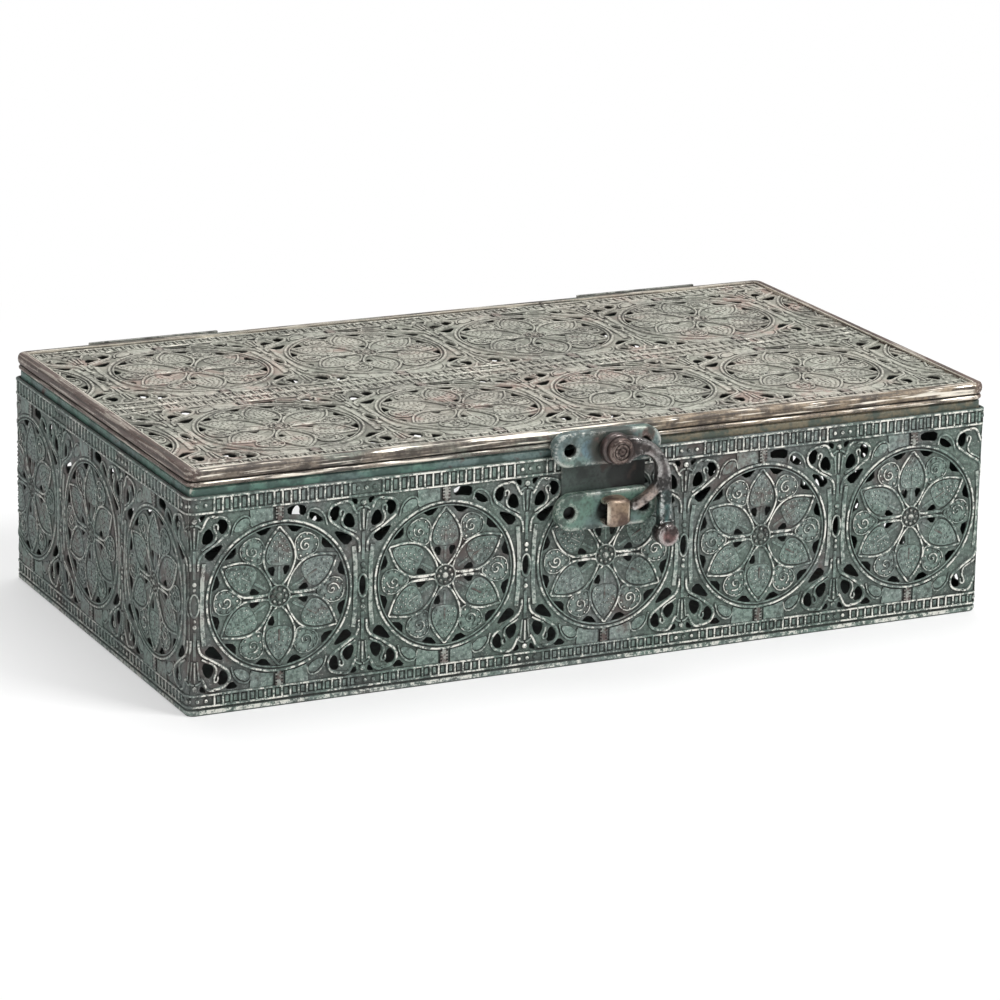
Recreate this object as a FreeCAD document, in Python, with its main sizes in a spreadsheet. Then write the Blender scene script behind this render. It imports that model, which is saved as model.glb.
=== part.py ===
import FreeCAD, Part
import math
import os
import Sketcher
from types import SimpleNamespace
from FreeCAD import Placement, Rotation, Vector

# Driving dimensions in millimetres, and counts
SIZES = {
    "length": 220,
    "depth": 122,
    "wall_height": 54.6,
    "bottom_band": 5.6,
    "top_band": 4.6,
    "sheet": 1.4,
    "relief": 0.5,
    "corner_radius": 2.5,
    "rosette_pitch": 43.7,
    "row_shift": 1.2,
    "base_sheet": 1.0,
    "shoulder_top": 56.6,
    "shoulder_sheet": 1.0,
    "lid_bottom": 56.7,
    "lid_top": 61.1,
    "lid_inset": 0.4,
    "lid_corner": 3.0,
    "lid_sheet": 1.4,
    "lid_band": 5.0,
    "lid_rosettes": 4,
    "lid_pitch": 48.8,
    "rim_lip": 0.5,
    "rim_width": 2.6,
    "rim_web": 1.4,
    "hinge_length": 36,
    "hinge_centre": 71,
    "hinge_height": 56.3,
    "hinge_back": 1.7,
    "leaf_sheet": 0.8,
    "leaf_reach": 6.0,
    "lid_leaf_reach": 5.0,
    "knuckle_radius": 1.6,
    "pin_radius": 0.8,
    "running_gap": 0.05,
    "knuckle_gap": 0.3,
    "latch_x": 0.8,
    "pivot_height": 56.5,
    "prong_turn": 15.8,
    "plate_centre": -0.4,
    "hook_plate_length": 29.6,
    "hook_plate_height": 8.6,
    "hook_plate_sheet": 3.2,
    "hook_plate_step": 1.3,
    "catch_plate_length": 28,
    "catch_plate_height": 9.5,
    "catch_plate_sheet": 2.4,
    "plate_hole": 1.6,
    "plate_hole_reach": 10.2,
    "backing_width": 23,
    "backing_height": 17.6,
    "backing_sheet": 0.6,
    "loop_width": 6.6,
    "loop_height": 7.4,
    "loop_opening": 4.2,
    "loop_room": 3.6,
    "loop_strap": 1.2,
    "hook_sheet": 2.9,
    "hook_gap": 0.5,
    "knob_radius": 2.9,
    "knob_length": 5.0,
    "rivet_radius": 1.5,
    "rivet_head": 3.4,
    "rivet_head_height": 1.5,
    "head_gap": 0.2,
}

doc = FreeCAD.newDocument("filigree_box")
sheet = doc.addObject("Spreadsheet::Sheet", "Sizes")
for row, (alias, value) in enumerate(SIZES.items(), start=1):
    sheet.set(f"A{row}", alias)
    sheet.set(f"B{row}", str(value))
    sheet.setAlias(f"B{row}", alias)
doc.recompute()


class Size:
    """A number together with the sheet expression that gives it."""

    def __init__(self, value, text):
        self.value = float(value)
        self.text = text

    def join(self, other, sign, value):
        return Size(value, f"({self.text} {sign} {bound(other).text})")

    def __add__(self, other):
        return self.join(other, "+", self.value + bound(other).value)

    def __sub__(self, other):
        return self.join(other, "-", self.value - bound(other).value)

    def __mul__(self, other):
        return self.join(other, "*", self.value * bound(other).value)

    def __truediv__(self, other):
        return self.join(other, "/", self.value / bound(other).value)

    def __neg__(self):
        return Size(-self.value, f"(-1 * {self.text})")


def bound(number):
    """Any plain number as a Size."""
    return number if isinstance(number, Size) else Size(number, str(number))


size = SimpleNamespace(**{alias: Size(sheet.get(alias), f"Sizes.{alias}") for alias in SIZES})
sub_parts = []


def keep(piece, name):
    piece.Label = name
    sub_parts.append(piece)
    return piece


def bind(obj, **values):
    for name, value in values.items():
        obj.setExpression(name.replace("__", "."), bound(value).text)


def place(piece, x=0, y=0, z=0, turn=0):
    piece.Placement = Placement(Vector(), Rotation(Vector(0, 0, 1), turn))
    bind(piece, Placement__Base__x=x, Placement__Base__y=y, Placement__Base__z=z)


def new_body(name):
    return keep(doc.addObject("PartDesign::Body", name), name)


def new_sketch(body, role, name):
    """A sketch on one of the body's own origin planes."""
    sketch = body.newObject("Sketcher::SketchObject", name)
    plane = next(item for item in body.Origin.OriginFeatures if item.Role == role)
    sketch.AttachmentSupport = [(plane, "")]
    sketch.MapMode = "FlatFace"
    return sketch


def outline(sketch, points):
    """A closed outline of straight sides, with every corner bound to the sheet."""
    corners = [Vector(bound(x).value, bound(y).value, 0) for x, y in points]
    sides = [Part.LineSegment(a, b) for a, b in zip(corners, corners[1:] + corners[:1])]
    ids = sketch.addGeometry(sides, False)
    for this, after in zip(ids, list(ids[1:]) + [ids[0]]):
        sketch.addConstraint(Sketcher.Constraint("Coincident", this, 2, after, 1))
    for number, (x, y) in zip(ids, points):
        for kind, axis, value in (("DistanceX", -2, bound(x)), ("DistanceY", -1, bound(y))):
            if value.value == 0:
                sketch.addConstraint(Sketcher.Constraint("PointOnObject", number, 1, axis))
                continue
            index = sketch.addConstraint(Sketcher.Constraint(kind, -1, 1, number, 1, value.value))
            sketch.setExpression(f"Constraints[{index}]", value.text)


def polygon(sketch, points):
    """A small closed hole or land of straight sides, at points worked out from the sheet."""
    corners = [Vector(x, y, 0) for x, y in points]
    sketch.addGeometry([Part.LineSegment(a, b) for a, b in zip(corners, corners[1:] + corners[:1])], False)


def path(sketch, start, *steps):
    """A closed outline of lines and arcs: a step is an end point, or a point on the arc and its end."""
    here = Vector(*start, 0)
    for step in steps:
        if len(step) == 2 and isinstance(step[0], tuple):
            middle, end = Vector(*step[0], 0), Vector(*step[1], 0)
            sketch.addGeometry(Part.Arc(here, middle, end), False)
        else:
            end = Vector(*step, 0)
            sketch.addGeometry(Part.LineSegment(here, end), False)
        here = end


def pad(body, sketch, length, symmetric=False):
    feature = body.newObject("PartDesign::Pad", "Pad")
    feature.Profile = sketch
    feature.SideType = "Symmetric" if symmetric else "One side"
    bind(feature, Length=length)


def pocket(body, sketch):
    """A cut right through the body, both ways from the sketch."""
    feature = body.newObject("PartDesign::Pocket", "Pocket")
    feature.Profile = sketch
    feature.Type = "ThroughAll"
    feature.SideType = "Symmetric"
    return feature


def repeat(body, feature, sketch, step, count):
    """A row of copies of a cut along the sketch's own horizontal axis."""
    pattern = body.newObject("PartDesign::LinearPattern", "Row")
    pattern.Originals = [feature]
    pattern.Direction = (sketch, ["H_Axis"])
    pattern.Length = step * (count - 1)
    pattern.Occurrences = count
    body.Tip = pattern


def polar(radius, degrees):
    return radius * math.cos(math.radians(degrees)), radius * math.sin(math.radians(degrees))


# The filigree repeat: a six-petal rosette in a ring, between two columns with scrolled capitals
pitch = size.rosette_pitch.value
half_pitch = pitch / 2
rim_hole_outer = 17.4
rim_hole_inner = 14.9
rim_hole_angles = (6.5, 19.5, 15.0)
inner_ear = ((2.4, 15.4), (3.9, 18.6), (5.0, 16.2))
outer_ear = ((6.3, 20.2), (8.6, 19.5), (7.5, 17.2))
wedge = ((2.9, 12.4), (7.1, 14.0), (4.5, 10.8))


def rosette_holes(column_holes):
    """Twelve rim holes beside the petal tips, and the scrolls of the half columns on either side."""
    radii = (rim_hole_outer, rim_hole_outer, rim_hole_inner)
    holes = []
    for petal in range(30, 390, 60):
        for side in (-1, 1):
            holes.append([polar(r, petal + side * a) for r, a in zip(radii, rim_hole_angles)])
    for across in (-1, 1):
        for up in (-1, 1):
            for hole in column_holes:
                holes.append([(across * (half_pitch - x), up * y) for x, y in hole])
    return holes


def draw_holes(sketch, holes, centre, scale, room):
    """The holes of one repeat, leaving out any that would run past the ends of the strip."""
    for hole in holes:
        corners = [(centre[0] + scale * x, centre[1] + scale * y) for x, y in hole]
        if all(abs(x) < room for x, y in corners):
            polygon(sketch, corners)


def pierce(body, plane, first, step, count, row, scale, room, column_holes):
    """Cuts the filigree: whole rosettes in a row, then what is left of the ones that an end cuts off."""
    holes = rosette_holes(column_holes)
    rosette = new_sketch(body, plane, "Rosette")
    draw_holes(rosette, holes, (first, row), scale, room)
    repeat(body, pocket(body, rosette), rosette, step, count)
    ends = new_sketch(body, plane, "Ends")
    for beyond in (first - step, first + step * count):
        draw_holes(ends, holes, (beyond, row), scale, room)
    if ends.GeometryCount:
        body.Tip = pocket(body, ends)


def mitre_ends(body, half_span, radius, deep):
    """Both ends cut at 45 degrees on the corner's bisector, and the outer corner rounded. y runs inwards."""
    corner = new_sketch(body, "XY_Plane", "Mitre")
    spare = 1.0
    reach = radius * math.sin(math.radians(45))
    bulge = radius * math.sin(math.radians(22.5))
    rise = radius * (1 - math.cos(math.radians(22.5)))
    for end in (-1, 1):
        x = half_span - radius
        path(
            corner,
            (end * x, 0),
            ((end * (x + bulge), rise), (end * (x + reach), radius - reach)),
            (end * (half_span - deep), deep),
            (end * (half_span + spare), deep),
            (end * (half_span + spare), -spare),
            (end * x, -spare),
            (end * x, 0),
        )
    body.Tip = pocket(body, corner)


def stand(piece, side, inset):
    """Puts a strip, drawn along X with its outer face at y = 0, on one side of the box."""
    along, out = size.length / 2 - inset, size.depth / 2 - inset
    spot = {"front": (0, -out, 0), "right": (along, 0, 90), "back": (0, out, 180), "left": (-along, 0, 270)}
    x, y, turn = spot[side]
    place(piece, x, y, 0, turn)


sides = ("front", "right", "back", "left")
spans = {"front": size.length, "back": size.length, "left": size.depth, "right": size.depth}

# Walls: pierced strips with a raised band along the top and bottom
field_bottom = size.bottom_band
field_top = size.wall_height - size.top_band
field_middle = (field_bottom.value + field_top.value) / 2
corner_room = 1.9
for side in sides:
    wall = new_body(f"{side}_wall")
    section = new_sketch(wall, "YZ_Plane", "Section")
    outline(section, [
        (0, 0), (0, field_bottom), (size.relief, field_bottom), (size.relief, field_top),
        (0, field_top), (0, size.wall_height), (size.sheet, size.wall_height), (size.sheet, 0),
    ])
    pad(wall, section, spans[side], symmetric=True)
    half_span = spans[side].value / 2
    mitre_ends(wall, half_span, size.corner_radius.value, 2 * size.sheet.value)
    whole = int(spans[side].value / pitch)
    row_length = pitch * (whole - 1)
    first = {
        "front": size.row_shift.value - row_length / 2,
        "right": half_pitch - half_span,
        "back": size.row_shift.value - row_length / 2,
        "left": half_span - half_pitch - row_length,
    }[side]
    pierce(wall, "XZ_Plane", first, pitch, whole, field_middle, 1.0, half_span - corner_room,
           (inner_ear, outer_ear, wedge))
    stand(wall, side, 0)

# Shoulders: plain bands behind the top of the walls, standing above them
for side in sides:
    shoulder = new_body(f"{side}_shoulder")
    section = new_sketch(shoulder, "YZ_Plane", "Section")
    outline(section, [
        (0, field_top), (0, size.shoulder_top - size.relief), (size.relief, size.shoulder_top),
        (size.shoulder_sheet, size.shoulder_top), (size.shoulder_sheet, field_top),
    ])
    inner_span = spans[side] - size.sheet * 2
    pad(shoulder, section, inner_span, symmetric=True)
    inner_radius = size.corner_radius.value - size.sheet.value
    mitre_ends(shoulder, inner_span.value / 2, inner_radius, 2 * size.shoulder_sheet.value)
    stand(shoulder, side, size.sheet)

# Floor: a plain sheet between the walls
base = keep(doc.addObject("Part::Box", "base_plate"), "base_plate")
bind(base, Length=size.length - size.sheet * 2, Width=size.depth - size.sheet * 2, Height=size.base_sheet)
place(base, size.sheet - size.length / 2, size.sheet - size.depth / 2)

# Lid rims: a thin bead under a fuller one, with a slot behind that grips the edge of the lid's strips
panel_top = size.lid_top - size.rim_lip
panel_bottom = panel_top - size.lid_sheet
thin_bead = 0.65
bead_gap = 0.2
bead_waist = 0.9
bead_land = 0.7
for side in sides:
    rim = new_body(f"{side}_rim")
    section = new_sketch(rim, "YZ_Plane", "Section")
    low, high = size.lid_bottom.value, size.lid_top.value
    full_low = low + 2 * thin_bead + bead_gap
    land_low = full_low + bead_waist
    land_high = land_low + bead_land
    crown = high - land_high
    quarter = 1 - math.cos(math.radians(45))
    web, width = size.rim_web.value, size.rim_width.value
    path(
        section,
        (bead_waist, low),
        ((bead_waist - thin_bead, low + thin_bead), (bead_waist, low + 2 * thin_bead)),
        (bead_waist, full_low),
        ((bead_waist * quarter, full_low + bead_waist * quarter), (0, land_low)),
        (0, land_high),
        ((crown * quarter, high - crown * quarter), (crown, high)),
        (width, high),
        (width, panel_top.value),
        (web, panel_top.value),
        (web, panel_bottom.value),
        (width, panel_bottom.value),
        (width, low),
        (bead_waist, low),
    )
    rim_span = spans[side] - size.lid_inset * 2
    pad(rim, section, rim_span, symmetric=True)
    mitre_ends(rim, rim_span.value / 2, size.lid_corner.value, 2 * width)
    stand(rim, side, size.lid_inset)

# Lid strips: two pierced strips that meet along the middle of the lid
strip_half = size.length / 2 - size.lid_inset - size.rim_web
strip_depth = size.depth / 2 - size.lid_inset - size.rim_web
lip_line = size.depth / 2 - size.lid_inset - size.rim_width
row_centre = lip_line.value / 2
lid_scale = size.lid_pitch.value / pitch
lid_room = strip_half.value - size.rim_width.value
for name, flip in (("lid_front_strip", -1), ("lid_back_strip", 1)):
    strip = new_body(name)
    section = new_sketch(strip, "YZ_Plane", "Section")
    field = panel_top - size.relief
    outline(section, [
        (0, panel_bottom), (0, panel_top), (size.lid_band * flip, panel_top), (size.lid_band * flip, field),
        ((lip_line - size.lid_band) * flip, field), ((lip_line - size.lid_band) * flip, panel_top),
        (strip_depth * flip, panel_top), (strip_depth * flip, panel_bottom),
    ])
    pad(strip, section, strip_half * 2, symmetric=True)
    count = int(size.lid_rosettes.value)
    first = -size.lid_pitch.value * (count - 1) / 2
    pierce(strip, "XY_Plane", first, size.lid_pitch.value, count, flip * row_centre, lid_scale, lid_room,
           (inner_ear,))

# Hinges: two plain butt hinges on the outside of the back, with one lid knuckle between two case knuckles
axis_y = size.depth / 2 + size.hinge_back
knuckle = (size.hinge_length - size.knuckle_gap * 2) / 3
clear = size.knuckle_radius + size.knuckle_gap


def tube(name, length, x, radius):
    """A cylinder along X whose axis is the hinge's, in the hinge's own frame."""
    bar = doc.addObject("Part::Cylinder", name)
    bind(bar, Radius=radius, Height=length)
    bar.Placement = Placement(Vector(), Rotation(Vector(0, 1, 0), 90))
    bind(bar, Placement__Base__x=x)
    return bar


def join(kind, name, base, tool):
    feature = doc.addObject(f"Part::{kind}", name)
    feature.Base = base
    feature.Tool = tool
    return feature


def plate(name, x, y, z, length, width, height):
    box = doc.addObject("Part::Box", name)
    bind(box, Length=length, Width=width, Height=height)
    place(box, x, y, z)
    return box


start = -size.hinge_length / 2
middle = -knuckle / 2
for side, way in (("left", -1), ("right", 1)):
    bore = size.pin_radius + size.running_gap
    # Case leaf: lies on the back wall under the knuckles, notched round the lid's knuckle
    case_leaf = plate(f"{side}_case_sheet", start, -size.hinge_back, -size.leaf_reach,
                      size.hinge_length, size.leaf_sheet, size.leaf_reach)
    barrel = tube(f"{side}_case_barrel", size.hinge_length, start, size.knuckle_radius)
    leaf = join("Fuse", f"{side}_case_blank", case_leaf, barrel)
    notch = plate(f"{side}_case_notch", middle - size.knuckle_gap, -clear, -clear,
                  knuckle + size.knuckle_gap * 2, clear * 2, clear * 2)
    leaf = join("Cut", f"{side}_case_notched", leaf, notch)
    leaf = join("Cut", f"{side}_case_leaf", leaf, tube(f"{side}_case_bore", size.hinge_length, start, bore))
    place(keep(leaf, f"{side}_case_leaf"), size.hinge_centre * way, axis_y, size.hinge_height)
    # Lid leaf: lies on the rim's full bead, as high as the lid
    lid_leaf = plate(f"{side}_lid_sheet", start, -size.hinge_back - size.lid_inset, clear,
                     size.hinge_length, size.leaf_sheet, size.lid_leaf_reach - clear)
    tongue = plate(f"{side}_lid_tongue", middle, -size.hinge_back - size.lid_inset, 0,
                   knuckle, size.leaf_sheet, clear)
    leaf = join("Fuse", f"{side}_lid_blank", lid_leaf, tongue)
    barrel = tube(f"{side}_lid_barrel", knuckle, middle, size.knuckle_radius)
    leaf = join("Fuse", f"{side}_lid_barrelled", leaf, barrel)
    leaf = join("Cut", f"{side}_lid_leaf", leaf, tube(f"{side}_lid_bore", knuckle, middle, bore))
    place(keep(leaf, f"{side}_lid_leaf"), size.hinge_centre * way, axis_y, size.hinge_height)
    # Pin: runs through all three knuckles
    pin = tube(f"{side}_hinge_pin", size.hinge_length, size.hinge_centre * way + start, size.pin_radius)
    bind(pin, Placement__Base__y=axis_y, Placement__Base__z=size.hinge_height)
    keep(pin, f"{side}_hinge_pin")

# Latch: a backing sheet and two round-ended plates, with the hook on the upper and the loop on the lower
front = -size.depth / 2
catch_height = size.pivot_height - size.prong_turn
backing_front = front - size.backing_sheet
catch_front = backing_front - size.catch_plate_sheet
rim_front = front + size.lid_inset
hook_plate_front = rim_front - size.hook_plate_sheet
hook_back = hook_plate_front - size.hook_gap

backing = plate("latch_backing", size.plate_centre - size.backing_width / 2, backing_front,
                size.wall_height - size.backing_height,
                size.backing_width, size.backing_sheet, size.backing_height)
keep(backing, "latch_backing")


def round_plate(name, length, height, centre_z, back, thick, holes):
    """A plate with half-round ends that faces the front, with round holes along its middle."""
    body = new_body(name)
    face = new_sketch(body, "XZ_Plane", "Face")
    middle_x, half = size.plate_centre.value, length.value / 2
    radius, z = height.value / 2, centre_z.value
    left, right = middle_x - half, middle_x + half
    path(
        face,
        (left + radius, z - radius),
        (right - radius, z - radius),
        ((right, z), (right - radius, z + radius)),
        (left + radius, z + radius),
        ((left, z), (left + radius, z - radius)),
    )
    pad(body, face, thick)
    place(body, 0, back, 0)
    drill = new_sketch(body, "XZ_Plane", "Holes")
    for x, radius in holes:
        drill.addGeometry(Part.Circle(Vector(x, z, 0), Vector(0, 0, 1), radius), False)
    body.Tip = pocket(body, drill)
    return body


hole_left = (size.plate_centre - size.plate_hole_reach).value
hole_right = (size.plate_centre + size.plate_hole_reach).value
screw_hole = size.plate_hole.value
pivot_hole = (size.rivet_radius + size.running_gap).value
round_plate("catch_plate", size.catch_plate_length, size.catch_plate_height, catch_height,
            backing_front, size.catch_plate_sheet, [(hole_left, screw_hole), (hole_right, screw_hole)])
hook_plate = round_plate("hook_plate", size.hook_plate_length, size.hook_plate_height, size.pivot_height,
                         rim_front, size.hook_plate_sheet,
                         [(hole_left, screw_hole), (hole_right, screw_hole), (size.latch_x.value, pivot_hole)])
# The part of the upper plate that hangs below the lid is stepped back to clear the wall
step = new_sketch(hook_plate, "YZ_Plane", "Step")
step_foot = size.pivot_height - size.hook_plate_height
outline(step, [(size.relief, step_foot), (size.relief, size.lid_bottom), (-size.hook_plate_step, size.lid_bottom),
               (-size.hook_plate_step, step_foot)])
hook_plate.Tip = pocket(hook_plate, step)

# Loop: a strap bent over the lower plate, open to the left and right for the hook's prong
loop = new_body("catch_loop")
strap = new_sketch(loop, "YZ_Plane", "Strap")
reach = -(size.loop_room + size.loop_strap).value
half, gap = size.loop_height.value / 2, size.loop_opening.value / 2
bend = half - gap
turn = bend * (1 - math.cos(math.radians(45)))
path(
    strap,
    (0, half),
    (reach + bend, half),
    ((reach + turn, half - turn), (reach, gap)),
    (reach, -gap),
    ((reach + turn, turn - half), (reach + bend, -half)),
    (0, -half),
    (0, -gap),
    (-size.loop_room.value, -gap),
    (-size.loop_room.value, gap),
    (0, gap),
    (0, half),
)
pad(loop, strap, size.loop_width, symmetric=True)
place(loop, size.latch_x, catch_front, catch_height)

# Rivet: a head over the hook's eye and a shank through the upper plate
rivet = new_body("hook_rivet")
turning = new_sketch(rivet, "XY_Plane", "Turning")
shank_end = (size.hook_plate_sheet - size.hook_plate_step - size.running_gap).value
head_face = -(size.hook_gap + size.hook_sheet + size.head_gap).value
head_front = head_face - size.rivet_head_height.value
head, shank = size.rivet_head.value, size.rivet_radius.value
path(
    turning,
    (0, shank_end),
    (shank, shank_end),
    (shank, head_face),
    (head, head_face),
    (head, head_front),
    (0, head_front),
    (0, shank_end),
)
spin = rivet.newObject("PartDesign::Revolution", "Spin")
spin.Profile = turning
spin.ReferenceAxis = (turning, ["V_Axis"])
spin.Angle = 360
place(rivet, size.latch_x, hook_plate_front, size.pivot_height)

# Hook: an eye, a sickle that sweeps to the right, a prong concentric with the eye and a tail with a knob
hook = new_body("hook")
horn = new_sketch(hook, "XZ_Plane", "Horn")
eye = 4.1
eye_top = polar(eye, 44.6)
eye_back = polar(eye, 173)
eye_foot = polar(eye, -57.5)
outer_centre, outer_radius = (2.7, -9.6), 12.5
inner_centre, inner_radius = (6.9, -6.4), 4.2
prong_half = 1.25
prong_inner = size.prong_turn.value - prong_half
prong_outer = size.prong_turn.value + prong_half
tip_angle = -71.0
tip_bulge = 4.2
root_step = 0.8
knob_centre = (13.7, -22.9)
tail_neck = 1.8
tail_top = -18.5
tail_left, tail_right = 12.0, 15.6


def on_outer(degrees):
    x, z = polar(outer_radius, degrees)
    return outer_centre[0] + x, outer_centre[1] + z


def on_inner(degrees):
    x, z = polar(inner_radius, degrees)
    return inner_centre[0] + x, inner_centre[1] + z


root_x = inner_centre[0] + inner_radius
inner_root = math.degrees(-math.acos(root_x / prong_inner))
outer_root = math.degrees(-math.acos((root_x + root_step) / prong_outer))
path(
    horn,
    eye_top,
    (on_outer(45), on_outer(0)),
    (tail_right, tail_top),
    (knob_centre[0] + tail_neck, knob_centre[1]),
    (knob_centre[0] - tail_neck, knob_centre[1]),
    (tail_left, tail_top),
    polar(prong_outer, outer_root),
    (polar(prong_outer, (outer_root + tip_angle) / 2), polar(prong_outer, tip_angle)),
    (polar(size.prong_turn.value, tip_angle - tip_bulge), polar(prong_inner, tip_angle)),
    (polar(prong_inner, (inner_root + tip_angle) / 2), polar(prong_inner, inner_root)),
    on_inner(0),
    (on_inner(75), on_inner(150)),
    eye_foot,
    (eye_back, eye_top),
)
pad(hook, horn, size.hook_sheet)
knob = new_sketch(hook, "XZ_Plane", "Knob")
knob.addGeometry(Part.Circle(Vector(*knob_centre, 0), Vector(0, 0, 1), size.knob_radius.value), False)
pad(hook, knob, size.knob_length)
eye_hole = new_sketch(hook, "XZ_Plane", "Eye")
eye_hole.addGeometry(Part.Circle(Vector(0, 0, 0), Vector(0, 0, 1), pivot_hole), False)
hook.Tip = pocket(hook, eye_hole)
place(hook, size.latch_x, hook_back, size.pivot_height)

doc.recompute()
for item in doc.Objects:
    if "Invalid" in item.State or "Error" in item.State:
        raise RuntimeError(f"{item.Label} failed: {item.State}")
os.makedirs("parts", exist_ok=True)
for piece in sub_parts:
    shape = piece.Shape
    if shape.isNull() or not shape.isValid() or not shape.Solids:
        raise RuntimeError(f"{piece.Label} has no valid solid")
    shape.exportStep(f"parts/{piece.Label}.step")
    box = shape.BoundBox
    print(f"{piece.Label}: {len(shape.Solids)} solid, {shape.Volume:.1f} mm3, "
          f"x {box.XMin:.2f} to {box.XMax:.2f}, y {box.YMin:.2f} to {box.YMax:.2f}, "
          f"z {box.ZMin:.2f} to {box.ZMax:.2f}")
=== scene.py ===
import math
import bpy
from mathutils import Matrix, Vector


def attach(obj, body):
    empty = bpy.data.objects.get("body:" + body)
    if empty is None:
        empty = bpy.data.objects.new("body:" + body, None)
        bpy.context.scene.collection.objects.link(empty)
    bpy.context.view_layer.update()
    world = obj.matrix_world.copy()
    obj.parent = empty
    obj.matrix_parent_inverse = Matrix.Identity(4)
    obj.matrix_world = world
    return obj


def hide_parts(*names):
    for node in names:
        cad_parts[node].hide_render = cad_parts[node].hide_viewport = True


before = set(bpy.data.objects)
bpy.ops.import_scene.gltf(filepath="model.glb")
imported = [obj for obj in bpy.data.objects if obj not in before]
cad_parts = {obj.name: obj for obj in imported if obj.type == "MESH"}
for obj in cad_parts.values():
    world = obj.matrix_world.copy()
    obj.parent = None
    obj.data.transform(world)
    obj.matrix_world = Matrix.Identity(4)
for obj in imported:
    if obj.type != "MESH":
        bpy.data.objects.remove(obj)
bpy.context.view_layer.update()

mm = 0.001
bpy.ops.object.select_all(action="DESELECT")

# The view: a long lens a little above the box, in front of its left corner.
# The picture is square, so the lens is given for a sensor of equal sides.
azimuth, elevation, roll = math.radians(-25.81), math.radians(16.463), math.radians(1.069)
distance, aside, above = 1147.9 * mm, 1.63 * mm, 24.4 * mm
back = Vector((
    math.sin(azimuth) * math.cos(elevation),
    -math.cos(azimuth) * math.cos(elevation),
    math.sin(elevation),
))
level = Vector((math.cos(azimuth), math.sin(azimuth), 0))
upright = back.cross(level)
right = math.cos(roll) * level + math.sin(roll) * upright
up = math.cos(roll) * upright - math.sin(roll) * level
bpy.ops.object.camera_add()
camera = bpy.context.object
camera.data.sensor_width = 36
camera.data.lens = 158.34
camera.data.clip_start = 0.01
camera.location = back * distance + right * aside + up * above
camera.rotation_euler = Matrix((right, up, back)).transposed().to_euler()
bpy.context.scene.camera = camera
bpy.context.scene.view_settings.view_transform = "Standard"


# The table the box stands on: a plain white sheet that runs out of sight.
# It keeps the box's soft shadow near it, and is plain white further off.
class Tint:
    """A socket of a material's nodes: sums written on it add Math nodes."""

    def __init__(self, tree, socket=None):
        self.tree = tree
        self.socket = socket

    def node(self, kind, settings=None, values=None, out=0):
        made = self.tree.nodes.new(kind)
        for name, value in (settings or {}).items():
            setattr(made, name, value)
        for name, value in (values or {}).items():
            if isinstance(value, Tint):
                self.tree.links.new(value.socket, made.inputs[name])
            else:
                made.inputs[name].default_value = value
        return Tint(self.tree, made.outputs[out])

    def math(self, operation, first, second):
        return self.node("ShaderNodeMath", {"operation": operation}, {0: first, 1: second})

    def __add__(self, other):
        return self.math("ADD", self, other)

    def __sub__(self, other):
        return self.math("SUBTRACT", self, other)

    def __rsub__(self, other):
        return self.math("SUBTRACT", other, self)

    def __mul__(self, other):
        return self.math("MULTIPLY", self, other)

    __radd__ = __add__
    __rmul__ = __mul__

    def between(self, low, high):
        """0 below low, 1 above high, and a smooth rise in between."""
        return self.node("ShaderNodeMapRange", {"interpolation_type": "SMOOTHSTEP"},
                         {"Value": self, "From Min": low, "From Max": high})

    def blend(self, first, second):
        """The first colour where this is 0 and the second where it is 1."""
        colours = {6: first, 7: second}
        for name, colour in colours.items():
            if not isinstance(colour, Tint):
                colours[name] = (*colour, 1)
        return self.node("ShaderNodeMix", {"data_type": "RGBA"}, {0: self, **colours}, out=2)


table_size = 60
shadow_near, shadow_far = 0.12, 0.34
white_over_shadow = 0.55
bpy.ops.mesh.primitive_plane_add(size=table_size)
table = bpy.context.object
table.name = "table_top"
paper = bpy.data.materials.new("white_paper")
paper.use_nodes = True
sheet = Tint(paper.node_tree)
matte = paper.node_tree.nodes["Principled BSDF"]
matte.inputs["Base Color"].default_value = (0.86, 0.86, 0.86, 1)
matte.inputs["Roughness"].default_value = 0.9
matte.inputs["Specular IOR Level"].default_value = 0.1
spot = sheet.node("ShaderNodeTexCoord", out=3)
reach = sheet.node("ShaderNodeVectorMath", {"operation": "LENGTH"}, {0: spot}, out=1)
path = {name: sheet.node("ShaderNodeLightPath", out=name)
        for name in ("Is Camera Ray", "Is Glossy Ray", "Is Transmission Ray")}
seen = path["Is Camera Ray"] + path["Is Glossy Ray"] + path["Is Transmission Ray"]
glow = sheet.node("ShaderNodeEmission", None, {"Color": (1, 1, 1, 1), "Strength": 1.0})
near = 1 - reach.between(shadow_near, shadow_far)
lit = sheet.node("ShaderNodeMixShader", None, {
    0: seen * (1 - near * white_over_shadow), 1: Tint(sheet.tree, matte.outputs[0]), 2: glow,
})
sheet.tree.links.new(lit.socket, sheet.tree.nodes["Material Output"].inputs[0])
table.data.materials.append(paper)

# Light: a soft lamp high in front on the right, a second one above the back and a weak one on the left.
# An even pale sky fills in the rest.
world = bpy.data.worlds.new("studio")
bpy.context.scene.world = world
world.use_nodes = True
sky = world.node_tree.nodes["Background"]
sky.inputs[0].default_value = (1, 1, 1, 1)
sky.inputs[1].default_value = 0.42
for name, place, size, power in (
    ("key_lamp", (0.55, -0.75, 1.0), 0.5, 14),
    ("top_lamp", (0.1, 0.35, 1.2), 0.7, 8),
    ("side_lamp", (-1.1, -0.5, 0.6), 0.6, 2),
):
    bpy.ops.object.light_add(type="AREA", location=place)
    lamp = bpy.context.object
    lamp.name = name
    lamp.data.size = size
    lamp.data.energy = power
    lamp.rotation_euler = Vector(place).to_track_quat("Z", "Y").to_euler()


# The filigree repeat: pressed metal, with one rosette between two columns.
# Thin wires, beads and leaves stand on a flat sheet that is pierced between them.
pitch = 43.7
half_pitch = pitch / 2
ground = -0.5
sheet_back = -1.15


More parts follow.
